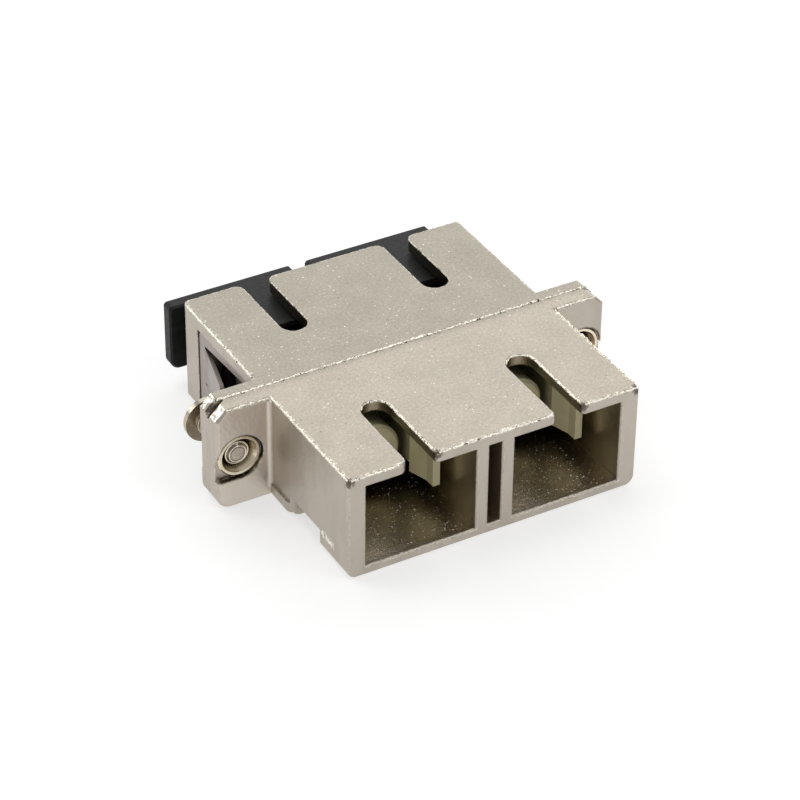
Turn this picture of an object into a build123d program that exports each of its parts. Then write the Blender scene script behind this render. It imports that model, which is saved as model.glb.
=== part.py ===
"""Duplex panel adapter for push-pull fibre connectors, in a two-part zinc body.

Lengths are millimetres. X runs across the two ports, Y from the open front
ports to the capped rear ports, Z up. The origin lies on the underside, midway
between the ports, in the plane where the two halves of the body meet.
"""
import os
from math import cos, radians, sin
from build123d import *

# Port interface
port_pitch = 12.7
port_width = 9.4
port_height = 7.3
floor_thickness = 0.8
roof_thickness = 1.0
side_wall = 1.55
web_slit = 1.1
web_slit_end = 2.6
front_length = 13.85
rear_length = 13.3

# Body edges
bottom_edge_radius = 0.8
top_edge_radius = 0.25
rear_corner_radius = 0.5
mouth_chamfer = 0.13
parting_chamfer = 0.1

# Keyways in the roof
keyway_width = 2.3
keyway_front_end = 5.7
keyway_rear_end = 5.4
front_lip_radius = 0.35
worn_lip_radius = 0.8
rear_lip_radius = 0.75

# Locating notches in the lower edges of the front half, and the ledges behind them
notch_start = 4.9
notch_end = 9.25
notch_height = 1.8
notch_depth = 1.2
notch_lip_radius = 0.6
ledge_height = 1.15
ledge_bottom = 0.3
ledge_depth = 0.15

# Flange, one plate on each half
flange_end = 2.0
front_plate = 1.65
rear_plate = 1.25
flange_top_chamfer = 0.9
flange_bottom_radius = 1.2
flange_edge = 0.2
front_corner_pit = 0.8
rear_corner_pit = 0.35
front_root_radius = 0.4
rear_root_radius = 0.3

# Clinch bushes and mounting screws
fixing_spacing = 30.4
recess_radius = 1.95
front_recess_depth = 0.5
rear_recess_depth = 0.3
bush_radius = 1.5
bush_rim_radius = 1.8
bush_rim_height = 0.27
bush_rim_edge = 0.1
bush_funnel_radius = 1.5
bush_funnel_depth = 0.8
bush_hole_clearance = 0.05
screw_radius = 1.0
screw_clearance = 0.05
screw_length = 5.0
screw_gap = 2.65
screw_head_radius = 1.9
screw_head_side = 0.45
screw_head_height = 1.4
screw_tip_chamfer = 0.22
driver_slot_width = 0.42
driver_slot_length = 2.0
driver_slot_depth = 0.75

# Alignment sleeves and their holders
sleeve_outer_radius = 1.6
sleeve_inner_radius = 1.25
sleeve_length = 11.4
sleeve_slit = 0.45
sleeve_edge = 0.08
sleeve_clearance = 0.05
holder_plate_thickness = 1.15
holder_plate_lip = 0.35
holder_plate_rise = 0.25
holder_plate_clearance = 0.05
holder_tube_radius = 2.5
holder_tube_cap = 0.35
holder_tube_edge = 0.25
holder_entry_radius = 1.45
latch_thickness = 0.62
latch_height = 3.8
latch_reach = 3.33
latch_hook_rise = 0.58
latch_length = 9.7
latch_tip_length = 0.95
latch_ramp_length = 1.65

# Dust caps in the rear ports
cap_side_clearance = 0.1
cap_bottom_clearance = 0.15
cap_top_clearance = 0.35
cap_insertion = 4.7
cap_neck = 1.5
cap_wall = 0.5
cap_end_wall = 0.6
cap_corner = 0.6
grip_width = 11.35
grip_height = 6.0
grip_thickness = 1.2
grip_offset = -1.05
grip_top_radius = 0.3
grip_bottom_radius = 0.85
grip_edge = 0.15

# Sheet clips in the sides of the rear half
clip_thickness = 0.32
clip_sink = 0.1
clip_back_gap = 0.08
clip_front = 1.85
clip_rear = 10.65
clip_bottom = 1.4
clip_top = 7.87
clip_end_gap = 0.16
clip_side_gap = 0.12
clip_tab_depth = 0.6
clip_tab_gap = 0.06
clip_corner = 0.4
wing_bend = 9.7
wing_length = 4.9
wing_angle = 12.8
wing_root_height = 3.34
wing_tip_height = 2.4
wing_tip_corner = 0.4
wing_middle = 5.17
window_front = 2.65
window_root_gap = 0.15
window_front_height = 4.6

# Worked out from the values above
axis_height = floor_thickness + port_height / 2
body_height = floor_thickness + port_height + roof_thickness
body_width = port_pitch + port_width + 2 * side_wall
half_body = body_width / 2
flange_width = fixing_spacing + 2 * flange_end
port_places = {"left": -port_pitch / 2, "right": port_pitch / 2}
sides = {"left": -1, "right": 1}
fixing_places = {name: side * fixing_spacing / 2 for name, side in sides.items()}
clip_centre_y = (clip_front + clip_rear) / 2
clip_centre_z = (clip_bottom + clip_top) / 2

# Section planes with X across and Z up. The first faces the front, the second the rear.
forward = Plane.XZ
backward = Plane(origin=(0, 0, 0), x_dir=(-1, 0, 0), z_dir=(0, 1, 0))


def section_at(y):
    """The plane across the adapter at a distance behind the parting face, facing the front."""
    return Plane.XZ.offset(-y)


def keep(piece, label):
    """Names a finished piece, writes it and reports its volume."""
    piece.part.label = label
    export_step(piece.part, f"parts/{label}.step")
    print(label, piece.part.is_valid, len(piece.part.solids()), round(piece.part.volume, 2))


def body_section(facing):
    """The outline of the body seen along the ports."""
    with BuildSketch(facing) as section:
        with Locations((0, body_height / 2)):
            Rectangle(body_width, body_height)
        fillet(section.vertices().group_by(Axis.Y)[0], bottom_edge_radius)
        fillet(section.vertices().group_by(Axis.Y)[-1], top_edge_radius)
    return section.sketch


def flange_section(facing):
    """The outline of one flange plate, flush with the top and the underside."""
    with BuildSketch(facing) as section:
        with Locations((0, body_height / 2)):
            Rectangle(flange_width, body_height)
        fillet(section.vertices().group_by(Axis.Y)[0], flange_bottom_radius)
        chamfer(section.vertices().group_by(Axis.Y)[-1], flange_top_chamfer)
    return section.sketch


def cast_blank(housing, facing, length, plate, corner_pit):
    """The flange plate and the body of one half, bevelled finely round the parting face.

    The bevel is deeper at the two cut-off corners of the flange.
    """
    extrude(flange_section(facing), amount=plate)
    parting, outer = sorted(housing.faces().filter_by(Axis.Y), key=lambda face: abs(face.center().Y))
    chamfer(outer.edges(), flange_edge)
    chamfer(parting.edges(), parting_chamfer)
    extrude(body_section(facing.offset(parting_chamfer)), amount=length - parting_chamfer)
    corner_middle = (flange_width - flange_top_chamfer) / 2
    for side in sides.values():
        across_corner = Plane(
            origin=(side * corner_middle, 0, body_height - flange_top_chamfer / 2),
            x_dir=(side, 0, 1),
            z_dir=(1, 0, -side),
        )
        with BuildSketch(across_corner) as pit:
            with Locations(Location((0, 0), 45)):
                Rectangle(corner_pit, corner_pit)
        extrude(pit.sketch, amount=flange_top_chamfer, both=True, mode=Mode.SUBTRACT)


def fill_flange_roots(direction, plate, radius):
    """Concave roundings where the sides of the body meet the flange."""
    corner = direction * plate
    for side in sides.values():
        with BuildSketch(Plane.XY.offset(bottom_edge_radius)) as root:
            with Locations((side * (half_body + radius / 2), corner + direction * radius / 2)):
                Rectangle(radius, radius)
            with Locations((side * (half_body + radius), corner + direction * radius)):
                Circle(radius, mode=Mode.SUBTRACT)
        extrude(root.sketch, amount=body_height - bottom_edge_radius - top_edge_radius)


def cut_ports(facing, length):
    """Two rectangular ports, and the wider seats of the holder plates behind them."""
    seat_width = port_width + 2 * (holder_plate_lip + holder_plate_clearance)
    seat_height = port_height + 2 * (holder_plate_rise + holder_plate_clearance)
    with BuildSketch(facing) as ports:
        with Locations(*[(x, axis_height) for x in port_places.values()]):
            Rectangle(port_width, port_height)
    extrude(ports.sketch, amount=length, mode=Mode.SUBTRACT)
    with BuildSketch(facing) as seats:
        with Locations(*[(x, axis_height) for x in port_places.values()]):
            Rectangle(seat_width, seat_height)
    extrude(seats.sketch, amount=holder_plate_thickness + holder_plate_clearance, mode=Mode.SUBTRACT)


def cut_web_slit(facing, length):
    """The core-out between the two ports, open at the mouth."""
    with BuildSketch(facing.offset(web_slit_end)) as slit:
        with Locations((0, axis_height)):
            Rectangle(web_slit, port_height)
    extrude(slit.sketch, amount=length - web_slit_end, mode=Mode.SUBTRACT)


def cut_keyways(direction, length, inner_end):
    """Slots in the roof, open at the mouth and round at their inner ends."""
    straight = length - inner_end - keyway_width / 2
    with BuildSketch(Plane.XY.offset(axis_height)) as slots:
        with Locations(*[(x, direction * (length - straight / 2)) for x in port_places.values()]):
            Rectangle(keyway_width, straight)
        with Locations(*[(x, direction * (inner_end + keyway_width / 2)) for x in port_places.values()]):
            Circle(keyway_width / 2)
    extrude(slots.sketch, amount=body_height - axis_height, mode=Mode.SUBTRACT)


def keyway_lips(housing, direction):
    """The four upright corners where the keyways meet the mouth, from left to right."""
    upright = housing.edges().filter_by(Axis.Z).group_by(Axis.Y)
    at_mouth = upright[0] if direction < 0 else upright[-1]
    in_roof = at_mouth.filter_by(lambda edge: edge.center().Z > body_height - roof_thickness)
    keyway_sides = in_roof.filter_by(lambda edge: abs(edge.center().X) < half_body - side_wall)
    return keyway_sides.sort_by(Axis.X)


def cut_fixing_recesses(facing, plate, depth, opening_top):
    """Round recesses for the rims of the bushes, open at the ends of the flange, and their holes."""
    opening_height = recess_radius + opening_top
    for side in sides.values():
        with BuildSketch(facing.offset(plate - depth)) as recess:
            with Locations((side * fixing_spacing / 2, axis_height)):
                Circle(recess_radius)
            with Locations((side * (fixing_spacing + flange_end) / 2, axis_height + opening_top)):
                Rectangle(flange_end, opening_height, align=(Align.CENTER, Align.MAX))
        extrude(recess.sketch, amount=depth, mode=Mode.SUBTRACT)
    with BuildSketch(facing) as holes:
        with Locations(*[(x, axis_height) for x in fixing_places.values()]):
            Circle(bush_radius + bush_hole_clearance)
    extrude(holes.sketch, amount=plate, mode=Mode.SUBTRACT)


def add_ledges():
    """A narrow ledge low on each side of the front half, from the flange to the notch."""
    length = notch_start - front_plate
    for side in sides.values():
        with BuildSketch(Plane.XY.offset(ledge_bottom)) as ledge:
            with Locations((side * half_body, -front_plate - length / 2)):
                Rectangle(2 * ledge_depth, length)
        extrude(ledge.sketch, amount=ledge_height - ledge_bottom)


def cut_notches():
    """A locating notch in each lower edge of the front half, with its mouth rounded off."""
    length = notch_end - notch_start
    outside = half_body + ledge_depth
    mouth_depth = ledge_depth + notch_lip_radius
    for side in sides.values():
        with BuildSketch(Plane.XY) as notch:
            with Locations((side * (half_body - notch_depth / 2), -notch_start - length / 2)):
                Rectangle(notch_depth, length)
            with Locations((side * (outside - mouth_depth / 2), -notch_start - length / 2)):
                Rectangle(mouth_depth, length + 2 * notch_lip_radius)
            for lip in (-notch_start + notch_lip_radius, -notch_end - notch_lip_radius):
                with Locations((side * (outside - notch_lip_radius), lip)):
                    Circle(notch_lip_radius, mode=Mode.SUBTRACT)
        extrude(notch.sketch, amount=notch_height, mode=Mode.SUBTRACT)


def round_rear_corners():
    """The upright corners of the rear half, rounded behind the side walls."""
    for side in sides.values():
        outward = Align.MIN if side > 0 else Align.MAX
        with BuildSketch(Plane.XY) as corner:
            with Locations((side * (half_body - rear_corner_radius), rear_length - rear_corner_radius)):
                Rectangle(rear_corner_radius, rear_corner_radius, align=(outward, Align.MIN))
                Circle(rear_corner_radius, mode=Mode.SUBTRACT)
        extrude(corner.sketch, amount=body_height, mode=Mode.SUBTRACT)


def cut_clip_seats():
    """In each side a shallow seat for the sheet clip, slots for its tabs and a window for its wing."""
    seat_length = clip_rear - clip_front + 2 * clip_end_gap
    seat_height = clip_top - clip_bottom + 2 * clip_side_gap
    seat_depth = clip_sink + clip_thickness + clip_back_gap
    slot_depth = clip_sink + clip_thickness + clip_tab_depth + clip_tab_gap
    slot_length = clip_thickness + clip_end_gap + clip_tab_gap
    slot_inset = slot_length / 2 - clip_end_gap
    slot_middles = [clip_front + slot_inset, clip_rear - slot_inset]
    window_length = wing_bend - window_front
    for side in sides.values():
        outside = Plane.YZ.offset(side * half_body)
        with BuildSketch(outside) as seat:
            with Locations((clip_centre_y, clip_centre_z)):
                Rectangle(seat_length, seat_height)
        extrude(seat.sketch, amount=-side * seat_depth, mode=Mode.SUBTRACT)
        with BuildSketch(outside) as slots:
            with Locations(*[(y, wing_middle) for y in slot_middles]):
                Rectangle(slot_length, wing_root_height)
        extrude(slots.sketch, amount=-side * slot_depth, mode=Mode.SUBTRACT)
        with BuildSketch(outside) as window:
            with Locations((wing_bend - window_length / 2, wing_middle)):
                Rectangle(window_length, window_front_height)
        extrude(window.sketch, amount=-side * side_wall, mode=Mode.SUBTRACT)


os.makedirs("parts", exist_ok=True)

# Front half of the body, a zinc casting with two open ports
with BuildPart() as front_housing:
    cast_blank(front_housing, forward, front_length, front_plate, front_corner_pit)
    fill_flange_roots(-1, front_plate, front_root_radius)
    cut_ports(forward, front_length)
    cut_web_slit(forward, front_length)
    cut_keyways(-1, front_length, keyway_front_end)
    lips = keyway_lips(front_housing, -1)
    fillet(lips[0], worn_lip_radius)
    fillet(lips[1:], front_lip_radius)
    add_ledges()
    cut_notches()
    cut_fixing_recesses(forward, front_plate, front_recess_depth, 0)
    chamfer(front_housing.faces().sort_by(Axis.Y)[0].edges(), mouth_chamfer)
keep(front_housing, "front_housing")

# Rear half of the body, with a seat and a window for a sheet clip in each side
with BuildPart() as rear_housing:
    cast_blank(rear_housing, backward, rear_length, rear_plate, rear_corner_pit)
    fill_flange_roots(1, rear_plate, rear_root_radius)
    round_rear_corners()
    cut_ports(backward, rear_length)
    cut_web_slit(backward, rear_length)
    cut_keyways(1, rear_length, keyway_rear_end)
    fillet(keyway_lips(rear_housing, 1), rear_lip_radius)
    cut_fixing_recesses(backward, rear_plate, rear_recess_depth, recess_radius)
    cut_clip_seats()
keep(rear_housing, "rear_housing")

# Clinch bushes, turned from brass and flared over the front plate
bush_back = rear_plate
bush_shoulder = rear_plate - rear_recess_depth
bush_front_floor = -(front_plate - front_recess_depth)
bush_front = bush_front_floor - bush_rim_height
for name, x in fixing_places.items():
    with BuildPart() as clinch_bush:
        with BuildSketch(Plane.XY.offset(axis_height)) as half_section:
            with BuildLine():
                Polyline(
                    (x + screw_radius + screw_clearance, bush_back),
                    (x + bush_rim_radius, bush_back),
                    (x + bush_rim_radius, bush_shoulder),
                    (x + bush_radius, bush_shoulder),
                    (x + bush_radius, bush_front_floor),
                    (x + bush_rim_radius, bush_front_floor),
                    (x + bush_rim_radius, bush_front),
                    (x + bush_funnel_radius, bush_front),
                    (x + screw_radius + screw_clearance, bush_front + bush_funnel_depth),
                    close=True,
                )
            make_face()
        revolve(axis=Axis((x, 0, axis_height), (0, 1, 0)))
        circles = clinch_bush.edges().filter_by(GeomType.CIRCLE)
        rims = circles.filter_by(lambda edge: edge.radius > bush_funnel_radius)
        chamfer(rims.sort_by(Axis.Y)[0], bush_rim_edge)
    keep(clinch_bush, f"clinch_bush_{name}")

# Mounting screws, M2 with a pan head and a cross recess, standing off the rear plate
head_seat = rear_plate + screw_gap
head_crown = head_seat + screw_head_height
dome_height = screw_head_height - screw_head_side
dome_radius = (screw_head_radius ** 2 + dome_height ** 2) / (2 * dome_height)
for name, x in fixing_places.items():
    with BuildPart() as mounting_screw:
        with BuildSketch(Plane.XY.offset(axis_height)) as half_section:
            with BuildLine():
                Polyline(
                    (x, head_crown),
                    (x, head_seat - screw_length),
                    (x + screw_radius - screw_tip_chamfer, head_seat - screw_length),
                    (x + screw_radius, head_seat - screw_length + screw_tip_chamfer),
                    (x + screw_radius, head_seat),
                    (x + screw_head_radius, head_seat),
                    (x + screw_head_radius, head_seat + screw_head_side),
                )
                RadiusArc(
                    (x + screw_head_radius, head_seat + screw_head_side), (x, head_crown), -dome_radius
                )
            make_face()
        revolve(axis=Axis((x, 0, axis_height), (0, 1, 0)))
        with BuildSketch(section_at(head_crown)) as driver_cross:
            with Locations((x, axis_height)):
                Rectangle(driver_slot_length, driver_slot_width)
                Rectangle(driver_slot_width, driver_slot_length)
        extrude(driver_cross.sketch, amount=driver_slot_depth, mode=Mode.SUBTRACT)
    keep(mounting_screw, f"mounting_screw_{name}")

# Sleeve holders, moulded, two back to back in each port with a pair of latch arms on each
tube_length = sleeve_length / 2 + sleeve_clearance + holder_tube_cap
holder_plate_width = port_width + 2 * holder_plate_lip
holder_plate_height = port_height + 2 * holder_plate_rise
for end, direction in {"front": -1, "rear": 1}.items():
    for name, x in port_places.items():
        across = Plane(origin=(x, 0, axis_height), x_dir=(1, 0, 0), z_dir=(0, direction, 0))
        with BuildPart() as sleeve_holder:
            with BuildSketch(across):
                Rectangle(holder_plate_width, holder_plate_height)
            extrude(amount=holder_plate_thickness)
            with BuildSketch(across.offset(holder_plate_thickness)):
                Circle(holder_tube_radius)
            extrude(amount=tube_length - holder_plate_thickness)
            tube_ends = sleeve_holder.edges().filter_by(GeomType.CIRCLE).group_by(Axis.Y)
            chamfer(tube_ends[0] if direction < 0 else tube_ends[-1], holder_tube_edge)
            for side in sides.values():
                outer = x + side * (latch_reach + latch_thickness)
                inner = x + side * latch_reach
                hook = x + side * (latch_reach - latch_hook_rise)
                ramp_end = latch_length - latch_tip_length
                catch = ramp_end - latch_ramp_length
                with BuildSketch(Plane.XY.offset(axis_height)):
                    with BuildLine():
                        Polyline(
                            (outer, direction * holder_plate_thickness / 2),
                            (outer, direction * latch_length),
                            (inner, direction * latch_length),
                            (inner, direction * ramp_end),
                            (hook, direction * catch),
                            (inner, direction * catch),
                            (inner, direction * holder_plate_thickness / 2),
                            close=True,
                        )
                    make_face()
                extrude(amount=latch_height / 2, both=True)
            with BuildSketch(across):
                Circle(sleeve_outer_radius + sleeve_clearance)
            extrude(amount=tube_length - holder_tube_cap, mode=Mode.SUBTRACT)
            with BuildSketch(across):
                Circle(holder_entry_radius)
            extrude(amount=tube_length, mode=Mode.SUBTRACT)
        keep(sleeve_holder, f"sleeve_holder_{end}_{name}")

# Split alignment sleeves, zirconia, loose in the tubes of two holders
sleeve_wall = sleeve_outer_radius - sleeve_inner_radius
for name, x in port_places.items():
    middle = Plane(origin=(x, 0, axis_height), x_dir=(1, 0, 0), z_dir=(0, -1, 0))
    with BuildPart() as split_sleeve:
        with BuildSketch(middle):
            Circle(sleeve_outer_radius)
            Circle(sleeve_inner_radius, mode=Mode.SUBTRACT)
            with Locations((0, sleeve_outer_radius)):
                Rectangle(sleeve_slit, 2 * sleeve_wall + sleeve_slit, mode=Mode.SUBTRACT)
        extrude(amount=sleeve_length / 2, both=True)
        mouths = split_sleeve.edges().filter_by(GeomType.CIRCLE)
        chamfer(mouths.filter_by(lambda edge: edge.radius < sleeve_outer_radius), sleeve_edge)
    keep(split_sleeve, f"split_sleeve_{name}")

# Dust caps, soft black plugs with an off-centre grip plate
plug_width = port_width - 2 * cap_side_clearance
plug_height = port_height - cap_bottom_clearance - cap_top_clearance
hollow_width = plug_width - 2 * cap_wall
hollow_height = plug_height - 2 * cap_wall
plug_top = floor_thickness + port_height - cap_top_clearance
plug_middle = plug_top - plug_height / 2
plug_inner_end = rear_length - cap_insertion
grip_face = rear_length + cap_neck
for name, x in port_places.items():
    with BuildPart() as dust_cap:
        with BuildSketch(section_at(grip_face)) as grip:
            with Locations((x + grip_offset, plug_top - grip_height / 2)):
                Rectangle(grip_width, grip_height)
            fillet(grip.vertices().group_by(Axis.Y)[0], grip_bottom_radius)
            fillet(grip.vertices().group_by(Axis.Y)[-1], grip_top_radius)
        extrude(amount=-grip_thickness)
        chamfer(dust_cap.faces().sort_by(Axis.Y)[0].edges(), grip_edge)
        chamfer(dust_cap.faces().sort_by(Axis.Y)[-1].edges(), grip_edge)
        with BuildSketch(section_at(plug_inner_end)):
            with Locations((x, plug_middle)):
                RectangleRounded(plug_width, plug_height, cap_corner)
        extrude(amount=-(cap_insertion + cap_neck + grip_edge))
        with BuildSketch(section_at(plug_inner_end)):
            with Locations((x, plug_middle)):
                Rectangle(hollow_width, hollow_height)
        extrude(amount=-(cap_insertion + cap_neck - cap_end_wall), mode=Mode.SUBTRACT)
    keep(dust_cap, f"dust_cap_{name}")

# Side clips, each bent from one sheet, with two tabs let into the wall and a sprung wing
tab_height = wing_root_height - 2 * clip_tab_gap
opening_root_height = wing_root_height + 2 * window_root_gap
clip_face = half_body - clip_sink
wing_run = cos(radians(wing_angle))
wing_rise = sin(radians(wing_angle))
for name, side in sides.items():
    outside = Plane.YZ.offset(side * clip_face)
    wing_sheet = Plane(
        origin=(side * clip_face, wing_bend, wing_middle),
        x_dir=(side * wing_rise, -wing_run, 0),
        z_dir=(-side * wing_run, -wing_rise, 0),
    )
    with BuildPart() as side_clip:
        with BuildSketch(outside):
            with Locations((clip_centre_y, clip_centre_z)):
                RectangleRounded(clip_rear - clip_front, clip_top - clip_bottom, clip_corner)
            with BuildLine():
                Polyline(
                    (wing_bend, wing_middle - opening_root_height / 2),
                    (wing_bend, wing_middle + opening_root_height / 2),
                    (window_front, wing_middle + window_front_height / 2),
                    (window_front, wing_middle - window_front_height / 2),
                    close=True,
                )
            make_face(mode=Mode.SUBTRACT)
        extrude(amount=-side * clip_thickness)
        with BuildSketch(outside):
            with Locations((clip_front + clip_thickness / 2, wing_middle)):
                Rectangle(clip_thickness, tab_height)
            with Locations((clip_rear - clip_thickness / 2, wing_middle)):
                Rectangle(clip_thickness, tab_height)
        extrude(amount=-side * (clip_thickness + clip_tab_depth))
        with BuildSketch(wing_sheet) as wing:
            with BuildLine():
                Polyline(
                    (-clip_thickness, -wing_root_height / 2),
                    (wing_length, -wing_tip_height / 2),
                    (wing_length, wing_tip_height / 2),
                    (-clip_thickness, wing_root_height / 2),
                    close=True,
                )
            make_face()
            fillet(wing.vertices().filter_by(lambda corner: corner.X > 0), wing_tip_corner)
        extrude(amount=clip_thickness)
    keep(side_clip, f"side_clip_{name}")
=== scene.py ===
"""The looks of a duplex fibre optic adapter: plated zinc body, cream holders, black dust caps."""
from math import ceil, cos, pi, radians, sin, sqrt

import bmesh
import bpy
from mathutils import Matrix, Vector


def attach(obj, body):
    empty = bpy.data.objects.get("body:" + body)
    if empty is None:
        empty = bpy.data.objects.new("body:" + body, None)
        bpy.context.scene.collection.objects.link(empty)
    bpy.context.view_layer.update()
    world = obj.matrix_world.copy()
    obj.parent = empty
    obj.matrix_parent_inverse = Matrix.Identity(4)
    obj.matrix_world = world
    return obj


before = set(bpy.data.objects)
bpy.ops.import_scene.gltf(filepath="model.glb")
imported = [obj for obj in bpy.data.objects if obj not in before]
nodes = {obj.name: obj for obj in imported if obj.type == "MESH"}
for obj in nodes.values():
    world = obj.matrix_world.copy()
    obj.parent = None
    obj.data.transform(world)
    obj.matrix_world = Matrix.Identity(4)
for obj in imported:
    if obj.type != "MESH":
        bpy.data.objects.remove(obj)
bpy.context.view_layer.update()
bpy.ops.object.select_all(action="DESELECT")
sides = ("left", "right")
MM = 0.001


# The front half of the body, with the two open ports. It is a zinc die casting, tumbled and then
# nickel plated, so its skin is finely grained with loose flocks of tiny pimples, and every edge
# carries a crumbly burr with dark chips in it. Pimples and burrs are painted near white, a painted
# highlight. Inside the ports the colour is painted browner and darker with depth, a painted shade.
def connect(tree, node, inputs):
    """Gives a node its inputs, by name or number, each as a value or as another node's output."""
    for name, value in dict(inputs).items():
        if isinstance(value, bpy.types.NodeSocket):
            tree.links.new(value, node.inputs[name])
        else:
            node.inputs[name].default_value = value


def add_node(tree, kind, inputs=(), **settings):
    """Adds a shader node with its settings and its inputs."""
    node = tree.nodes.new(kind)
    for name, value in settings.items():
        setattr(node, name, value)
    connect(tree, node, inputs)
    return node


def new_group(name, inputs, outputs):
    """An empty group for an effect that several finishes share, with its inputs and its end."""
    group = bpy.data.node_groups.new(name, "ShaderNodeTree")
    for label, value in inputs.items():
        socket = group.interface.new_socket(label, in_out="INPUT", socket_type="NodeSocketFloat")
        socket.default_value = value
    for label in outputs:
        kind = "NodeSocketVector" if label == "Normal" else "NodeSocketFloat"
        group.interface.new_socket(label, in_out="OUTPUT", socket_type=kind)
    return group, group.nodes.new("NodeGroupInput").outputs, group.nodes.new("NodeGroupOutput")


def new_finish(name):
    """An empty finish with its node tree and its shader."""
    finish = bpy.data.materials.new(name)
    finish.use_nodes = True
    return finish, finish.node_tree, finish.node_tree.nodes["Principled BSDF"]


def place_in_mm(tree, stretch=(1, 1, 1)):
    """Object coordinates in millimetres, stretched where a pattern runs one way."""
    place = add_node(tree, "ShaderNodeTexCoord").outputs["Object"]
    scale = tuple(share / MM for share in stretch)
    return add_node(tree, "ShaderNodeMapping", {"Vector": place, "Scale": scale}).outputs[0]


def split_axes(tree, vector):
    """The three numbers of a place or a direction."""
    return add_node(tree, "ShaderNodeSeparateXYZ", {0: vector}).outputs


def noise(tree, where, scale, detail=3.0):
    """Soft noise, with its scale in lumps per millimetre."""
    inputs = {"Vector": where, "Scale": scale, "Detail": detail}
    return add_node(tree, "ShaderNodeTexNoise", inputs).outputs[0]


def scatter(tree, where, scale, channel):
    """Random dots: how far a place is from its dot, and a number that the dot draws for itself."""
    dots = add_node(tree, "ShaderNodeTexVoronoi", {"Vector": where, "Scale": scale}).outputs
    draws = add_node(tree, "ShaderNodeSeparateColor", {0: dots["Color"]}).outputs
    return dots["Distance"], draws[channel]


def ramp(tree, value, first, last, start=0.0, end=1.0):
    """A number that goes smoothly from start to end while value goes from first to last."""
    inputs = {"Value": value, "From Min": first, "From Max": last, "To Min": start, "To Max": end}
    return add_node(tree, "ShaderNodeMapRange", inputs, interpolation_type="SMOOTHSTEP").outputs[0]


def level(tree, mask, off, on):
    """One number where a mask is zero, and another where it is one."""
    return ramp(tree, mask, 0.0, 1.0, off, on)


def reckon(tree, operation, first, second=0.0, third=0.0):
    """One sum."""
    inputs = {0: first, 1: second, 2: third}
    return add_node(tree, "ShaderNodeMath", inputs, operation=operation).outputs[0]


def tint(tree, amount, first, second):
    """A colour between two, by an amount."""
    inputs = {0: amount, 6: first, 7: second}
    return add_node(tree, "ShaderNodeMix", inputs, data_type="RGBA").outputs[2]


def bump(tree, height, depth, **more):
    """The direction that the surface faces once a height pattern stands on it."""
    inputs = {"Height": height, "Distance": depth, "Strength": 1.0, **more}
    return add_node(tree, "ShaderNodeBump", inputs).outputs[0]


def every(tree, first, *others):
    """Masks multiplied."""
    for other in others:
        first = reckon(tree, "MULTIPLY", first, other)
    return first


def most(tree, first, *others):
    """The strongest of several masks."""
    for other in others:
        first = reckon(tree, "MAXIMUM", first, other)
    return first


def within(tree, value, middle, half, soft=0.01):
    """One where value lies no further than half from middle, and zero past the soft border."""
    off = reckon(tree, "ABSOLUTE", reckon(tree, "SUBTRACT", value, middle))
    return ramp(tree, off, half + soft, half)


def near(tree, where, places, reach, core):
    """One closer than core to any of the places, and zero further than reach from them all."""
    nearest = 0.0
    for place in places:
        gap = add_node(tree, "ShaderNodeVectorMath", {0: where, 1: place}, operation="DISTANCE")
        nearest = most(tree, ramp(tree, gap.outputs["Value"], reach, core), nearest)
    return nearest


def straight_line(tree, across, up):
    """How long a line is that goes so far across and so far up."""
    up_squared = reckon(tree, "MULTIPLY", up, up)
    return reckon(tree, "SQRT", reckon(tree, "MULTIPLY_ADD", across, across, up_squared))


flock_scale = 0.4
# Two sorts of pimples, fine and coarse: dots per millimetre, size, rarity and brightness.
pimple_sorts = ((4.2, 0.26, 1.16, 0.5), (2.3, 0.2, 1.24, 0.85))
pimple_doubt = 0.12
pimple_rise = 0.8
pit_scale = 1.5
pit_size = 0.16
pit_rarity = (0.88, 0.92)
pit_rise = -0.8
fine_grain_scale = 4.5
fine_grain_share = 0.7
broad_grain_scale = 0.8
grain_detail = 2.0


def make_cast_skin():
    """Grain, pimples and pits of a tumbled casting. Crowding puts the pimples closer together."""
    group, given, end = new_group("cast_skin", {"Pimples": 1.0, "Crowding": 0.0, "Pits": 1.0},
                                  ("Height", "Specks", "Holes", "Mottle", "Grain"))
    where = place_in_mm(group)
    flocks = noise(group, where, flock_scale)
    specks = 0.0
    for scale, size, rarity, brightness in pimple_sorts:
        distance, draw = scatter(group, where, scale, "Red")
        luck = reckon(group, "ADD", reckon(group, "ADD", draw, flocks), given["Crowding"])
        chosen = ramp(group, luck, rarity, rarity + pimple_doubt, 0.0, brightness)
        specks = most(group, every(group, ramp(group, distance, size, size / 3), chosen), specks)
    specks = reckon(group, "MINIMUM", every(group, specks, given["Pimples"]), 1.0)
    distance, draw = scatter(group, where, pit_scale, "Green")
    pits = every(group, ramp(group, distance, pit_size, pit_size / 2), ramp(group, draw, *pit_rarity),
                 given["Pits"])
    fine = noise(group, where, fine_grain_scale, grain_detail)
    broad = noise(group, where, broad_grain_scale, grain_detail)
    grain = reckon(group, "MULTIPLY_ADD", fine, fine_grain_share, broad)
    raised = reckon(group, "MULTIPLY_ADD", specks, pimple_rise, grain)
    height = reckon(group, "MULTIPLY_ADD", pits, pit_rise, raised)
    connect(group, end, {"Height": height, "Specks": specks, "Holes": pits, "Mottle": flocks,
                         "Grain": fine})
    return group


edge_width = 0.2 * MM
edge_samples = 6
edge_bend = (0.99, 0.87)
crumb_scale = 4.5
crumb_share = (0.42, 0.5)
chip_scale = 1.9
chip_detail = 4.0
chip_share = (0.56, 0.61)


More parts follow.
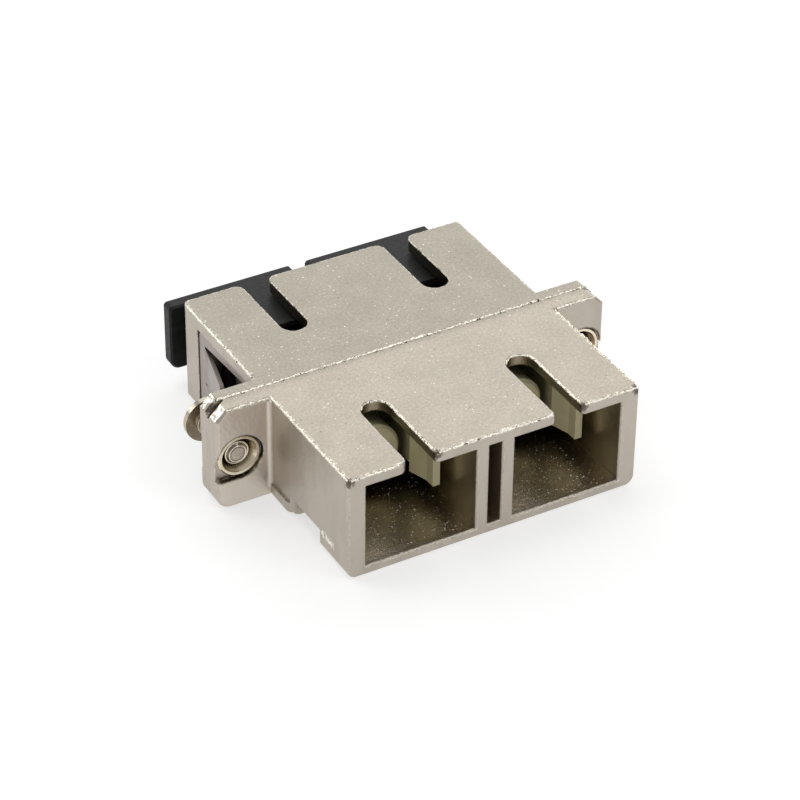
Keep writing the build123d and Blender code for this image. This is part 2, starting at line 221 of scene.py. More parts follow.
def make_edge_wear():
    """Where the edges are: crumbs that stand up, chips that are gone, and how the edge rounds."""
    group, given, end = new_group("edge_wear", {"Width": edge_width, "Crumbs": crumb_scale},
                                  ("Crumbs", "Chips", "Height", "Normal"))
    where = place_in_mm(group)
    rounding = add_node(group, "ShaderNodeBevel", {"Radius": given["Width"]}, samples=edge_samples)
    rounded = rounding.outputs[0]
    facing = add_node(group, "ShaderNodeNewGeometry").outputs["Normal"]
    bend = add_node(group, "ShaderNodeVectorMath", {0: rounded, 1: facing}, operation="DOT_PRODUCT")
    edge = ramp(group, bend.outputs["Value"], *edge_bend)
    lumps = noise(group, where, given["Crumbs"])
    flakes = noise(group, where, chip_scale, chip_detail)
    connect(group, end, {"Crumbs": every(group, edge, ramp(group, lumps, *crumb_share)),
                         "Chips": every(group, edge, ramp(group, flakes, *chip_share)),
                         "Height": every(group, edge, lumps), "Normal": rounded})
    return group


cast_skin = make_cast_skin()
edge_wear = make_edge_wear()
body_top = 9.1
half_body = 12.6
mouth_at = 13.85
wall_play = 0.01
port_middle = 6.35
port_half_width = 4.7
port_floor = 0.8
port_roof = 8.1
port_fade = (0.1, 0.9)
slit_half_width = 0.55
slit_height = 4.4
slit_half_height = 3.9
slit_fade = (0.05, 0.2)
slit_end = (4.0, 3.0)
keyway_half_width = 1.15
keyway_play = 0.02
keyway_height = 8.56
keyway_half_height = 0.46
keyway_soft = 0.04
keyway_fade = (0.05, 0.3)


def mark_openings(tree, x, z, out_from_middle, depth):
    """Where the walls inside the ports, inside the slit in the web and inside the keyways are."""
    port_height = (port_floor + port_roof) / 2
    port_half_height = (port_roof - port_floor) / 2 + wall_play
    in_port = every(tree, within(tree, out_from_middle, port_middle, port_half_width + wall_play),
                    within(tree, z, port_height, port_half_height), ramp(tree, depth, *port_fade))
    in_slit = every(tree, within(tree, x, 0.0, slit_half_width + wall_play),
                    within(tree, z, slit_height, slit_half_height),
                    ramp(tree, depth, *slit_fade), ramp(tree, depth, *slit_end))
    in_keyway = every(tree, within(tree, out_from_middle, port_middle, keyway_half_width + keyway_play),
                      within(tree, z, keyway_height, keyway_half_height, keyway_soft),
                      ramp(tree, depth, *keyway_fade))
    return in_port, in_slit, in_keyway


flange_front = -1.7
screw_place = 15.2
screw_height = 4.45
recess_radius = 1.95
recess_floor = -1.2
recess_end = (16.95, 16.8)
gap_radius = recess_radius - 0.06
gap_half_width = 0.11
gap_soft = 0.05


def mark_recess_shade(tree, out_from_middle, y, z):
    """Where the gap in the recess round a bush is painted dark as shade; the recess is open outwards
    below the screw.
    """
    across = reckon(tree, "SUBTRACT", out_from_middle, screw_place)
    below = ramp(tree, z, screw_height, screw_height - 0.1)
    open_end = every(tree, reckon(tree, "MAXIMUM", across, 0.0), below)
    across = reckon(tree, "SUBTRACT", across, open_end)
    reach = straight_line(tree, across, reckon(tree, "SUBTRACT", z, screw_height))
    return every(tree, within(tree, reach, gap_radius, gap_half_width, gap_soft),
                 ramp(tree, y, flange_front, flange_front + 0.08),
                 ramp(tree, out_from_middle, *recess_end),
                 ramp(tree, y, recess_floor + 0.2, recess_floor + 0.1))


fray_width = (0.4, 0.1)
fray_height = (body_top - 0.1, body_top - 0.02)
fray_scale = 5.0
fray_share = (0.5, 0.6)
parting_set_back = 0.15


def mark_fray(tree, where, y, z, out_from_middle, depth):
    """Where the top face frays: along its long sides, at the mouths and at the parting line."""
    from_side = reckon(tree, "ABSOLUTE", reckon(tree, "SUBTRACT", half_body, out_from_middle))
    from_side = reckon(tree, "ADD", from_side, within(tree, y, 0.0, -flange_front, 0.1))
    from_parting = reckon(tree, "ADD", reckon(tree, "ABSOLUTE", y), parting_set_back)
    from_edge = reckon(tree, "MINIMUM", reckon(tree, "MINIMUM", from_side, depth), from_parting)
    return every(tree, ramp(tree, from_edge, *fray_width), ramp(tree, z, *fray_height),
                 ramp(tree, noise(tree, where, fray_scale), *fray_share))


# How far a face has to turn to count as facing up, facing forwards or lying aslant.
turned_up = (0.5, 0.8)
turned_forward = (-0.6, -0.9)
turned_aslant = (0.3, 0.44)
rear_start = (-1.0, 0.0)
left_start = (0.0, -1.0)
side_glint_share = 0.16
port_pimples = 2.0
floor_crowding = 0.3
floor_end = (9.0, 5.0)
pits_left = 0.4
bevel_glint_scale = 4.2
bevel_glint_share = (0.4, 0.52)
rear_fray = 0.6
lip_half_height = 0.12
lip_depth = (0.35, 0.2)
sharp_above = (8.6, 9.0)
sharpness_below = 0.4
port_crumbs = 0.3
gate_scar = ((-12.6, -9.95, 1.72), (-12.6, -10.4, 1.74), (-12.6, -10.9, 1.70), (-12.6, -11.4, 1.60))
scar_reach = 0.4
scar_share = (0.45, 0.52)
chipped_corners = ((-12.5, -13.8, 8.9), (-5.15, -13.75, 8.9), (7.55, -13.75, 8.9), (12.4, -13.75, 8.9),
                   (-16.6, -0.3, 8.7), (-16.9, 0.2, 8.5), (16.6, -0.3, 8.7))
chipped_reach = 0.75
break_scale = 4.2
break_help = 0.28
break_share = (0.64, 0.70)
streak_scale = 0.7
streak_share = (0.35, 0.65)
mottle_share = 0.45
light_grain = (0.5, 0.95)
port_shade_start = (1.0, 8.0)
port_deep_shade_start = (6.0, 10.0)
shade_and_chip_strength = 0.85
crumb_strength = 0.92
# The top and side colours are set to how the light falls on each, and the top of the rear half is
# painted darker: painted light and shade. The dull colours are random tone.
zinc_colour = (0.475, 0.43, 0.362, 1)
zinc_dull_colour = (0.39, 0.352, 0.295, 1)
zinc_rear_shade_colour = (0.39, 0.36, 0.30, 1)
zinc_rear_dull_shade_colour = (0.32, 0.295, 0.245, 1)
zinc_side_colour = (0.505, 0.455, 0.39, 1)
zinc_side_dull_colour = (0.465, 0.418, 0.357, 1)
zinc_flange_light_colour = (0.67, 0.605, 0.53, 1)
# Inside the ports and the slit in the web the colour is painted shade, browner and darker with depth.
zinc_inside_colour = (0.66, 0.58, 0.46, 1)
zinc_deep_shade_colour = (0.40, 0.34, 0.25, 1)
zinc_depths_shade_colour = (0.13, 0.11, 0.075, 1)
# The keyways are painted dark, a painted shade, darkest in the rear half.
keyway_shade_colour = (0.33, 0.285, 0.20, 1)
keyway_rear_shade_colour = (0.11, 0.095, 0.065, 1)
# Pimples and burr crumbs are painted in this near white, partly a painted highlight.
zinc_glint_and_burr_colour = (1.0, 0.95, 0.84, 1)
# Dark chips and pits, and also the painted shade in the gap round each bush.
zinc_chip_and_shade_colour = (0.09, 0.07, 0.05, 1)
zinc_roughness = 0.4
inside_roughness = 0.32
speck_polish = 0.7
frost_limit = 0.7
frost_metal = 0.2
grain_depth = 0.03 * MM
burr_height = 2.6


def make_plated_zinc(name):
    """Nickel on a zinc casting."""
    finish, tree, shader = new_finish(name)
    where = place_in_mm(tree)
    x, y, z = split_axes(tree, where)
    facing = add_node(tree, "ShaderNodeTexCoord").outputs["Normal"]
    facing_x, facing_y, facing_z = split_axes(tree, facing)
    upward = ramp(tree, facing_z, *turned_up)
    behind = ramp(tree, y, *rear_start)
    out_from_middle = reckon(tree, "ABSOLUTE", x)
    depth = reckon(tree, "SUBTRACT", mouth_at, reckon(tree, "ABSOLUTE", y))
    in_port, in_slit, in_keyway = mark_openings(tree, x, z, out_from_middle, depth)
    inside = most(tree, in_port, in_slit, in_keyway)
    in_recess_shade = mark_recess_shade(tree, out_from_middle, y, z)
    # The front face of the left flange is painted lighter than the sides, a painted light on a face that
    # lies in shade.
    painted_flange_light = every(tree, ramp(tree, facing_y, *turned_forward),
                             within(tree, y, flange_front, 0.3, 0.1), ramp(tree, x, *left_start))

    on_floor = every(tree, in_port, upward, ramp(tree, depth, *floor_end))
    # Pimples are painted near white as glints, so few show on the sides, which catch less light: a
    # painted highlight on real pimples.
    pimples = every(tree, level(tree, upward, side_glint_share, 1.0), level(tree, inside, 1.0, port_pimples))
    skin_values = {"Pimples": pimples, "Crowding": level(tree, on_floor, 0.0, floor_crowding),
                   "Pits": pits_left}
    skin = add_node(tree, "ShaderNodeGroup", skin_values, node_tree=cast_skin).outputs
    wear_values = {"Width": edge_width, "Crumbs": crumb_scale}
    wear = add_node(tree, "ShaderNodeGroup", wear_values, node_tree=edge_wear).outputs

    # Facets that face up and aslant, as the chamfers do, get crumbs painted near white: a painted
    # highlight where they catch the light.
    aslant = reckon(tree, "MULTIPLY", reckon(tree, "ABSOLUTE", facing_x), facing_z)
    bevel_glints = every(tree, ramp(tree, aslant, *turned_aslant),
                         ramp(tree, noise(tree, where, bevel_glint_scale), *bevel_glint_share))
    fray = every(tree, mark_fray(tree, where, y, z, out_from_middle, depth), upward,
                 level(tree, behind, 1.0, rear_fray))
    lip = every(tree, within(tree, z, port_floor, lip_half_height, 0.1), ramp(tree, depth, *lip_depth))
    sharp = most(tree, ramp(tree, z, *sharp_above, sharpness_below, 1.0), lip)
    # Burr crumbs along the edges, fullest along the top, are painted near white: partly real burr,
    # partly painted highlight.
    crumbs = every(tree, most(tree, every(tree, wear["Crumbs"], sharp), bevel_glints, fray),
                   ramp(tree, in_port, 0.0, 0.5, 1.0, port_crumbs))
    scar = every(tree, near(tree, where, gate_scar, scar_reach, scar_reach / 2),
                 ramp(tree, noise(tree, where, crumb_scale), *scar_share))
    crumbs = most(tree, crumbs, scar)
    corner = near(tree, where, chipped_corners, chipped_reach, chipped_reach / 3)
    broken = reckon(tree, "MULTIPLY_ADD", corner, break_help, noise(tree, where, break_scale))
    chips = most(tree, every(tree, wear["Chips"], sharp),
                 every(tree, ramp(tree, broken, *break_share), corner))

    streaks = noise(tree, place_in_mm(tree, (1, 1, 0.3)), streak_scale, grain_detail)
    wall = tint(tree, ramp(tree, streaks, *streak_share), zinc_side_dull_colour, zinc_side_colour)
    wall = tint(tree, painted_flange_light, wall, zinc_flange_light_colour)
    top_grain = reckon(tree, "MULTIPLY_ADD", skin["Mottle"], mottle_share, skin["Grain"])
    light = ramp(tree, top_grain, *light_grain)
    top = tint(tree, behind, tint(tree, light, zinc_dull_colour, zinc_colour),
               tint(tree, light, zinc_rear_dull_shade_colour, zinc_rear_shade_colour))
    # Painted shade inside the ports and the slit: browner near the mouth, darker with depth.
    port_shade = tint(tree, ramp(tree, depth, *port_shade_start), zinc_inside_colour, zinc_deep_shade_colour)
    port_shade = tint(tree, ramp(tree, depth, *port_deep_shade_start), port_shade, zinc_depths_shade_colour)
    # Faces that look up take the top colour and the rest the side colour, a painted light and shade.
    colour = tint(tree, upward, wall, top)
    # Laid over in turn: painted shade in the ports and the slit, painted shade in the keyways and in the
    # gap round each bush, pimples painted near white as glints, dark pits, burr crumbs painted near
    # white, partly a painted highlight, and dark chips.
    for amount, coat in ((most(tree, in_port, in_slit), port_shade),
                         (in_keyway, tint(tree, behind, keyway_shade_colour, keyway_rear_shade_colour)),
                         (every(tree, in_recess_shade, shade_and_chip_strength), zinc_chip_and_shade_colour),
                         (skin["Specks"], zinc_glint_and_burr_colour),
                         (skin["Holes"], zinc_chip_and_shade_colour),
                         (every(tree, crumbs, crumb_strength), zinc_glint_and_burr_colour),
                         (every(tree, chips, shade_and_chip_strength), zinc_chip_and_shade_colour)):
        colour = tint(tree, amount, colour, coat)

    polish = level(tree, most(tree, skin["Specks"], crumbs), 1.0, speck_polish)
    frosted = every(tree, skin["Specks"], in_port)
    height = reckon(tree, "MULTIPLY_ADD", wear["Height"], burr_height, skin["Height"])
    connect(tree, shader, {
        "Base Color": colour,
        "Roughness": every(tree, level(tree, in_port, zinc_roughness, inside_roughness), polish),
        "Metallic": ramp(tree, frosted, 0.0, frost_limit, 1.0, frost_metal),
        "Normal": bump(tree, height, grain_depth, Normal=wear["Normal"])})
    return finish


def dress(node_name, finish):
    """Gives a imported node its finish."""
    mesh = nodes[node_name].data
    mesh.materials.clear()
    mesh.materials.append(finish)


plated_zinc = make_plated_zinc("plated_zinc")
dress("front_housing", plated_zinc)

# The rear half of the body, the same casting and plating. It closes on the front half along the
# bright parting line, and a sheet clip sits in a pocket in each of its sides.
dress("rear_housing", plated_zinc)

# The flash, thin crumbs of zinc squeezed out along the parting line and along the sharpest edges
# of both halves, and plated with them. It stands 0.1 to 0.16 mm proud.
# The crumbs are painted far brighter than the plating of the body, a painted highlight, with dark
# patches among them at random.
flash_highlight_colour = (0.95, 0.90, 0.78, 1)
flash_dark_colour = (0.12, 0.09, 0.06, 1)
flash_dark_share = (0.61, 0.67)
crumb_length = 0.09 * MM
rod_sides = 7
parting_runs = (((-16.5, 0, 9.06), (16.5, 0, 9.06)),)
edge_runs = (
    ((-12.45, -13.82, 9.05), (-8.3, -13.82, 9.05)), ((-4.95, -13.82, 9.05), (4.95, -13.82, 9.05)),
    ((7.75, -13.82, 9.05), (12.45, -13.82, 9.05)), ((-12.55, -13.7, 9.04), (-12.55, -1.8, 9.04)),
    ((12.55, -13.7, 9.04), (12.55, -1.8, 9.04)), ((-16.3, -1.58, 9.03), (-12.8, -1.58, 9.03)),
    ((12.8, -1.58, 9.03), (16.3, -1.58, 9.03)), ((-12.56, 1.4, 9.04), (-12.56, 12.6, 9.04)),
    ((-5.22, -13.2, 9.06), (-5.22, -7.0, 9.06)), ((7.48, -13.2, 9.06), (7.48, -7.0, 9.06)))
keyway_round_at = -6.85
keyway_burr_height = 9.065
burr_turn = radians(158)
burr_steps = 7


def round_keyway_end(middle):
    """Short runs along the edge of the round end of a front keyway."""
    edge = []
    for step in range(burr_steps + 1):
        turn = burr_turn * step / burr_steps
        edge.append((middle + keyway_half_width * cos(turn),
                     keyway_round_at + keyway_half_width * sin(turn), keyway_burr_height))
    return tuple(zip(edge[:-1], edge[1:]))


def select_lengthwise(rod, along):
    """Selects the edges of a rod that run along it, and nothing else."""
    mesh = bmesh.from_edit_mesh(rod.data)
    for edge in mesh.edges:
        reach = edge.verts[1].co - edge.verts[0].co
        edge.select_set(abs(reach.normalized().dot(along)) > 0.99)
    bmesh.update_edit_mesh(rod.data)


def lay_rod(start, end, radius):
    """A thin rod between two places, cut across twice over, into pieces of a crumb's length."""
    start = Vector(start) * MM
    end = Vector(end) * MM
    along = (end - start).normalized()
    bpy.ops.mesh.primitive_cylinder_add(vertices=rod_sides, radius=radius, depth=(end - start).length,
                                        location=(start + end) / 2,
                                        rotation=along.to_track_quat("Z", "Y").to_euler())
    rod = bpy.context.object
    bpy.ops.object.transform_apply(location=True, rotation=True, scale=True)
    cuts = ceil(sqrt((end - start).length / crumb_length)) - 1
    bpy.ops.object.mode_set(mode="EDIT")
    for _ in range(2):
        select_lengthwise(rod, along)
        bpy.ops.mesh.subdivide(number_cuts=cuts)
    bpy.ops.object.mode_set(mode="OBJECT")
    return rod


def lay_flash(name, runs, radius, lump, rise):
    """A line of crumbs: thin rods, joined, and pushed in and out by a cloudy pattern."""
    rods = [lay_rod(start, end, radius) for start, end in runs]
    for rod in rods:
        rod.select_set(True)
    if len(rods) > 1:
        bpy.ops.object.join()
    flash = bpy.context.object
    flash.name = name
    cloud = bpy.data.textures.new(name, "CLOUDS")
    cloud.noise_scale = lump
    cloud.noise_depth = 4
    push = flash.modifiers.new("crumbs", "DISPLACE")
    push.texture = cloud
    push.texture_coords = "LOCAL"
    push.strength = rise
    bpy.ops.object.modifier_apply(modifier="crumbs")
    bpy.ops.object.select_all(action="DESELECT")
    return flash


def make_plated_flash():
    """The same plating on the crumbs, painted brighter as a highlight, with dark patches at random."""
    finish, tree, shader = new_finish("plated_flash")
    where = place_in_mm(tree)
    dark = ramp(tree, noise(tree, where, 3.2), *flash_dark_share)
    connect(tree, shader, {
        "Base Color": tint(tree, dark, flash_highlight_colour, flash_dark_colour),
        "Roughness": ramp(tree, noise(tree, where, 6.0), 0.3, 0.7, 0.2, 0.4),
        "Metallic": 1.0,
        "Normal": bump(tree, noise(tree, where, 7.0, 2.0), 0.05 * MM)})
    return finish


plated_flash = make_plated_flash()
edge_runs = edge_runs + round_keyway_end(-port_middle) + round_keyway_end(port_middle)
parting_flash = lay_flash("parting_flash", parting_runs, radius=0.1 * MM, lump=0.3 * MM, rise=0.34 * MM)
edge_flash = lay_flash("edge_flash", edge_runs, radius=0.065 * MM, lump=0.26 * MM, rise=0.26 * MM)
for flash in (parting_flash, edge_flash):
    flash.data.materials.append(plated_flash)
    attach(flash, "adapter")


# The split sleeves, ground zirconia tubes with one slot, loose in their holders. They line up the
# ferrules of the two connectors.
def make_plain(name, colour, drift_colour, roughness, grain_scale, grain, metallic=0.0,
               stretch=(1, 1, 1)):
    """A moulded, ground, rolled or turned surface: its colour drifts a little, its grain is fine."""
    finish, tree, shader = new_finish(name)
    where = place_in_mm(tree, stretch)
    texture = noise(tree, where, grain_scale)
    drift = ramp(tree, noise(tree, where, 0.6), 0.35, 0.65)
    connect(tree, shader, {
        "Base Color": tint(tree, drift, colour, drift_colour),
        "Roughness": ramp(tree, texture, 0.3, 0.7, roughness * 0.85, roughness * 1.15),
        "Metallic": metallic,
        "Normal": bump(tree, texture, grain)})
    return finish


zirconia = make_plain("ground_zirconia", (0.84, 0.82, 0.76, 1), (0.8, 0.79, 0.74, 1),
                      roughness=0.18, grain_scale=6.0, grain=0.002 * MM)
for side in sides:
    dress(f"split_sleeve_{side}", zirconia)

# The sleeve holders, injection moulded in natural cream plastic, two back to back in each port.
# Each has a tube for the sleeve and a pair of latch arms that snap over a connector.
cream_shade_colour = (0.16, 0.14, 0.085, 1)
cream_shade_start = (6.0, 4.9)
cream_shade_strength = 0.85


def repaint(finish, amount, colour):
    """Tints the colour that a finish has by an amount of another."""
    base = finish.node_tree.nodes["Principled BSDF"].inputs["Base Color"]
    painted = tint(finish.node_tree, amount, base.links[0].from_socket, colour)
    finish.node_tree.links.new(painted, base)


cream_plastic = make_plain("natural_cream_plastic", (0.86, 0.81, 0.54, 1), (0.80, 0.75, 0.48, 1),
                           roughness=0.42, grain_scale=5.0, grain=0.006 * MM)
tree = cream_plastic.node_tree
from_parting = reckon(tree, "ABSOLUTE", split_axes(tree, place_in_mm(tree))["Y"])
deep_in = every(tree, ramp(tree, from_parting, *cream_shade_start), cream_shade_strength)
repaint(cream_plastic, deep_in, cream_shade_colour)
for side in sides:
    for end in ("front", "rear"):
        dress(f"sleeve_holder_{end}_{side}", cream_plastic)

# The clinch bushes, turned from brass and thinly plated. Their rims are flared over the front
# plate of the flange, so that they rivet the two halves of the body together.
brass_tarnish_colour = (0.26, 0.21, 0.13, 1)
tarnish_start = (1.42, 1.2)
tarnish_strength = 0.75


def from_screw(tree, x, z):
    """How far a place is from the axis of the nearer mounting screw."""
    across = reckon(tree, "SUBTRACT", reckon(tree, "ABSOLUTE", x), screw_place)
    return straight_line(tree, across, reckon(tree, "SUBTRACT", z, screw_height))


dulled_brass = make_plain("dulled_brass", (0.82, 0.74, 0.61, 1), (0.74, 0.65, 0.48, 1),
                          roughness=0.25, grain_scale=6.0, grain=0.006 * MM, metallic=1.0)
tree = dulled_brass.node_tree
x, y, z = split_axes(tree, place_in_mm(tree))
tarnish = every(tree, ramp(tree, from_screw(tree, x, z), *tarnish_start), tarnish_strength)
repaint(dulled_brass, tarnish, brass_tarnish_colour)
for side in sides:
    dress(f"clinch_bush_{side}", dulled_brass)

# The mounting screws, M2 pan heads of plated steel, put in from the rear. The thread is rolled
# on the shank and shows between the flange and the head. Rolling leaves a raised rim at the tip.
thread_pitch = 0.4
thread_turns = 6
thread_steps = 28
thread_start = 1.3
thread_ridge = 0.13
thread_middle = 0.97
thread_weld = 0.002
tip_sides = 44
tip_radius = 0.56
tip_thickness = 0.1
tip_place = -1.08
# The rims of the tip: the radius of each, its place along the screw, and how thick it is.
tip_rims = ((0.70, -1.10, 0.065), (0.95, -0.92, 0.07))
rim_sides = 12
screw_colour = (0.53, 0.47, 0.39, 1)
screw_dull_colour = (0.45, 0.39, 0.315, 1)
# The rims of the tip are painted bright, a painted highlight; the root of the thread and the grooves of
# the tip are painted darker.
screw_rim_highlight_colour = (0.92, 0.86, 0.76, 1)
screw_root_colour = (0.14, 0.115, 0.08, 1)
root_radius = (1.06, 1.01)
root_start = (1.0, 1.2)
root_end = (3.85, 3.7)
tip_start = (-0.8, -0.85)
screw_darkening_strength = 0.8


def make_screw_steel():
    """Plated steel, darker in the root of the thread and in the grooves of the tip, with a painted
    highlight on the rims of the tip.
    """
    finish, tree, shader = new_finish("plated_screw_steel")
    where = place_in_mm(tree)
    x, y, z = split_axes(tree, where)
    reach = from_screw(tree, x, z)
    in_root = every(tree, ramp(tree, reach, *root_radius), ramp(tree, y, *root_start),
                    ramp(tree, y, *root_end))
    at_tip = ramp(tree, y, *tip_start)
    outer_groove = within(tree, reach, 0.83, 0.04, 0.04)
    inner_groove = every(tree, within(tree, reach, 0.58, 0.03, 0.04), 0.6)
    darkened = most(tree, in_root, every(tree, at_tip, most(tree, outer_groove, inner_groove)))
    outer_rim = within(tree, reach, 0.97, 0.05, 0.03)
    inner_rim = within(tree, reach, 0.70, 0.04, 0.03)
    rims = every(tree, at_tip, most(tree, outer_rim, inner_rim))
    drift = ramp(tree, noise(tree, where, 0.9), 0.35, 0.65)
    colour = tint(tree, drift, screw_colour, screw_dull_colour)
    colour = tint(tree, rims, colour, screw_rim_highlight_colour)
    colour = tint(tree, every(tree, darkened, screw_darkening_strength), colour, screw_root_colour)
    scuffs = noise(tree, where, 5.0)
    connect(tree, shader, {
        "Base Color": colour,
        "Roughness": ramp(tree, scuffs, 0.3, 0.7, 0.2, 0.3),
        "Metallic": 1.0,
        "Normal": bump(tree, scuffs, 0.004 * MM)})
    return finish


def wind_ridge():
    """The ridge of the thread, a small triangle wound up round the Y axis and closed at its ends."""
    bpy.ops.mesh.primitive_circle_add(vertices=3, radius=thread_ridge * MM, fill_type="NOTHING",
                                      rotation=(0, 0, -pi / 2))
    ridge = bpy.context.object
    bpy.ops.object.transform_apply(location=True, rotation=True, scale=True)
    bpy.ops.object.mode_set(mode="EDIT")
    bpy.ops.mesh.select_all(action="SELECT")
    bpy.ops.transform.translate(value=(thread_middle * MM, thread_start * MM, 0))
    bpy.ops.object.mode_set(mode="OBJECT")
    wind = ridge.modifiers.new("wind", "SCREW")
    wind.axis = "Y"
    wind.screw_offset = thread_pitch * MM
    wind.iterations = thread_turns
    wind.steps = thread_steps
    wind.render_steps = thread_steps
    wind.use_merge_vertices = True
    wind.merge_threshold = thread_weld * MM
    bpy.ops.object.modifier_apply(modifier="wind")
    bpy.ops.object.mode_set(mode="EDIT")
    bpy.ops.mesh.select_all(action="SELECT")
    bpy.ops.mesh.fill_holes(sides=3)
    bpy.ops.mesh.select_all(action="SELECT")
    bpy.ops.mesh.normals_make_consistent(inside=False)
    bpy.ops.object.mode_set(mode="OBJECT")
    return ridge


def roll_thread(side, x):
    """A thread ridge wound round the shank, as one piece with the rimmed tip of the screw."""
    ridge = wind_ridge()
    parts = [ridge]
    for radius, place, wire in tip_rims:
        bpy.ops.mesh.primitive_torus_add(major_radius=radius * MM, minor_radius=wire * MM,
                                         major_segments=tip_sides, minor_segments=rim_sides,
                                         rotation=(pi / 2, 0, 0), location=(0, place * MM, 0))
        parts.append(bpy.context.object)
        bpy.ops.object.transform_apply(location=True, rotation=True, scale=True)
    bpy.ops.mesh.primitive_cylinder_add(vertices=tip_sides, radius=tip_radius * MM,
                                        depth=tip_thickness * MM, rotation=(pi / 2, 0, 0),
                                        location=(0, tip_place * MM, 0))
    parts.append(bpy.context.object)
    bpy.ops.object.transform_apply(location=True, rotation=True, scale=True)
    for part in parts:
        part.select_set(True)
    bpy.context.view_layer.objects.active = ridge
    bpy.ops.object.join()
    ridge.name = f"screw_thread_{side}"
    ridge.location = (x * MM, 0, screw_height * MM)
    bpy.ops.object.transform_apply(location=True, rotation=True, scale=True)
    bpy.ops.object.shade_smooth_by_angle(angle=radians(35))
    bpy.ops.object.select_all(action="DESELECT")
    return ridge


screw_steel = make_screw_steel()
for side, x in (("left", -screw_place), ("right", screw_place)):
    dress(f"mounting_screw_{side}", screw_steel)
    screw_thread = roll_thread(side, x)
    screw_thread.data.materials.append(screw_steel)
    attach(screw_thread, "adapter")

# The side clips, stamped and bent from thin plated steel sheet, smoother and greyer than the
# casting. Two tabs hold each in its pocket, and its wing springs out to grip the panel.
rolled_steel = make_plain("rolled_clip_steel", (0.37, 0.325, 0.30, 1), (0.34, 0.30, 0.275, 1),
                          roughness=0.36, grain_scale=3.0, grain=0.004 * MM, metallic=1.0,
                          stretch=(1, 0.2, 1))
for side in sides:
    dress(f"side_clip_{side}", rolled_steel)

# The dust caps, soft black plastic plugs pushed into the rear ports. Handling has rubbed the
# edges of their grip plates a little grey.
cap_colour = (0.017, 0.017, 0.017, 1)
cap_rubbed_colour = (0.10, 0.10, 0.098, 1)
cap_shine = 0.18
rubbed_width = 0.12 * MM
rubbed_scale = 2.0
rubbed_strength = 0.45
scuff_share = (0.6, 0.72)
scuff_strength = 0.1


def make_black_plastic():
    """Soft plastic with a matt grain, scuffed, and rubbed at the edges."""
    finish, tree, shader = new_finish("soft_black_plastic")
    rubbed_values = {"Width": rubbed_width, "Crumbs": rubbed_scale}
    rubbed = add_node(tree, "ShaderNodeGroup", rubbed_values, node_tree=edge_wear).outputs["Crumbs"]
    scuffs = ramp(tree, noise(tree, place_in_mm(tree, (0.25, 1, 1)), 3.0), *scuff_share)
    worn = most(tree, every(tree, rubbed, rubbed_strength), every(tree, scuffs, scuff_strength))
    grain = noise(tree, place_in_mm(tree), 3.5)
    connect(tree, shader, {
        "Base Color": tint(tree, worn, cap_colour, cap_rubbed_colour),
        "Roughness": ramp(tree, grain, 0.3, 0.7, 0.40, 0.52),
        "Specular IOR Level": cap_shine,
        "Normal": bump(tree, grain, 0.01 * MM)})
    return finish


black_plastic = make_black_plastic()
for side in sides:
    dress(f"dust_cap_{side}", black_plastic)

# The table under the adapter, plain white. It glows only where the camera or a reflection sees
# it, so that the adapter gets no light from the glow.
table_size = 3.0
table_drop = 0.02 * MM
table_colour = (0.5, 0.5, 0.5, 1)
table_glow = 0.6
bpy.ops.mesh.primitive_plane_add(size=table_size, location=(0, 0, -table_drop))
table = bpy.context.object
table.name = "table"
bpy.ops.object.transform_apply(location=True, rotation=True, scale=True)
white_table = bpy.data.materials.new("white_table")
white_table.use_nodes = True
tree = white_table.node_tree
tree.nodes.clear()
rays = add_node(tree, "ShaderNodeLightPath").outputs
seen = most(tree, rays["Is Camera Ray"], rays["Is Glossy Ray"], rays["Is Transmission Ray"])
top_coat = add_node(tree, "ShaderNodeBsdfDiffuse", {"Color": table_colour}).outputs[0]
glow = add_node(tree, "ShaderNodeEmission", {"Strength": every(tree, seen, table_glow)}).outputs[0]
both = add_node(tree, "ShaderNodeAddShader", {0: top_coat, 1: glow}).outputs[0]
add_node(tree, "ShaderNodeOutputMaterial", {"Surface": both})
table.data.materials.append(white_table)

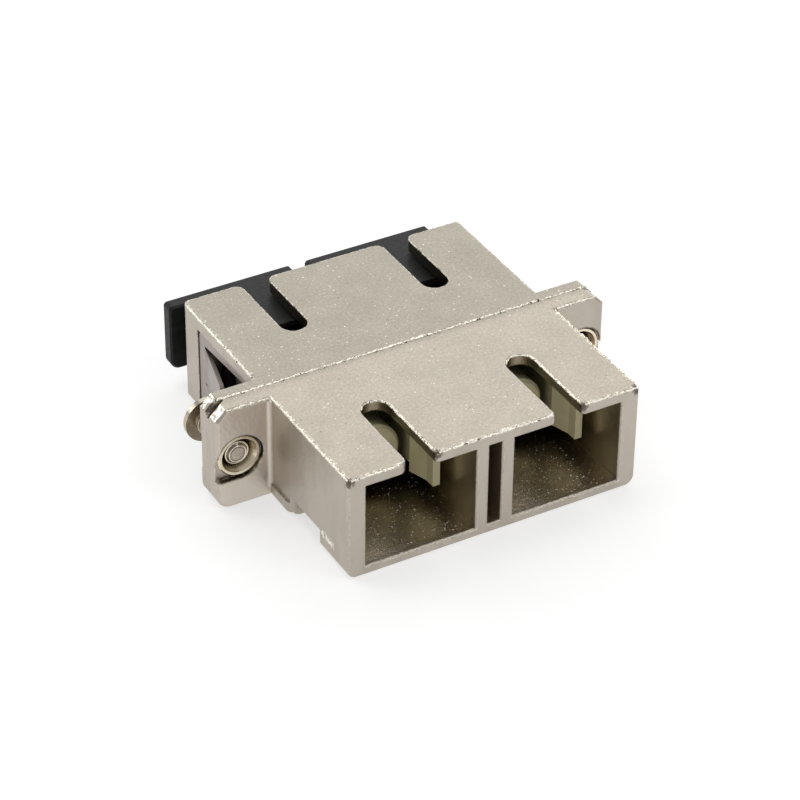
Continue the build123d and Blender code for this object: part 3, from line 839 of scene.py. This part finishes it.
# The room lights the adapter evenly and looks white behind it. Four soft panels hang in it: a
# large one behind, a smaller one to the left that the bevels catch, one overhead for the
# sparkle, and one in front that shines into the open ports.
white = (1, 1, 1, 1)
room_strength = 0.5
backdrop_strength = 1.0
room = bpy.data.worlds.new("studio")
bpy.context.scene.world = room
room.use_nodes = True
tree = room.node_tree
tree.nodes.clear()
rays = add_node(tree, "ShaderNodeLightPath").outputs
seen = most(tree, rays["Is Camera Ray"], rays["Is Transmission Ray"])
light = add_node(tree, "ShaderNodeBackground", {"Color": white, "Strength": room_strength}).outputs[0]
backdrop = add_node(tree, "ShaderNodeBackground", {"Color": white, "Strength": backdrop_strength})
both = add_node(tree, "ShaderNodeMixShader", {0: seen, 1: light, 2: backdrop.outputs[0]}).outputs[0]
add_node(tree, "ShaderNodeOutputWorld", {"Surface": both})


def hang_panel(name, direction, distance, size, brightness):
    """A soft square light that faces the adapter, with its brightness as a plain level."""
    data = bpy.data.lights.new(name, "AREA")
    data.shape = "SQUARE"
    data.size = size
    data.energy = brightness * pi * size * size
    panel = bpy.data.objects.new(name, data)
    panel.location = Vector(direction).normalized() * distance
    panel.rotation_euler = (-Vector(direction)).to_track_quat("-Z", "Y").to_euler()
    bpy.context.scene.collection.objects.link(panel)


hang_panel("back_panel", direction=(0.5, 0.70, 0.56), distance=0.75, size=0.9, brightness=1.0)
hang_panel("left_panel", direction=(-0.60, 0.70, 0.42), distance=0.75, size=0.35, brightness=2.0)
hang_panel("overhead_panel", direction=(-0.22, 0.30, 0.93), distance=0.8, size=0.3, brightness=3.0)
hang_panel("front_panel", direction=(0.41, -0.58, 0.71), distance=0.8, size=0.3, brightness=2.6)

# The view of the photograph. The camera stands to the left of the open ports and looks down on
# the adapter through a long lens, so that its edges nearly keep their direction.
camera_distance = 247.8 * MM
camera_aim = Vector((0.536, 1.641, 2.407)) * MM
camera_lens = 141.18
camera_film = 36.0
degrees_round = -29.781
degrees_down = 35.087
degrees_rolled = 0.575
camera_data = bpy.data.cameras.new("studio_camera")
camera_data.lens = camera_lens
camera_data.sensor_width = camera_film
camera_data.clip_start = 10 * MM
camera_data.clip_end = 20.0
camera = bpy.data.objects.new("studio_camera", camera_data)
turn = Matrix.Rotation(radians(degrees_round), 4, "Z")
turn = turn @ Matrix.Rotation(radians(90 - degrees_down), 4, "X")
turn = turn @ Matrix.Rotation(radians(degrees_rolled), 4, "Z")
away = Matrix.Translation((0, 0, camera_distance))
camera.matrix_world = Matrix.Translation(camera_aim) @ turn @ away
bpy.context.scene.collection.objects.link(camera)
bpy.context.scene.camera = camera
bpy.context.scene.view_settings.view_transform = "Standard"
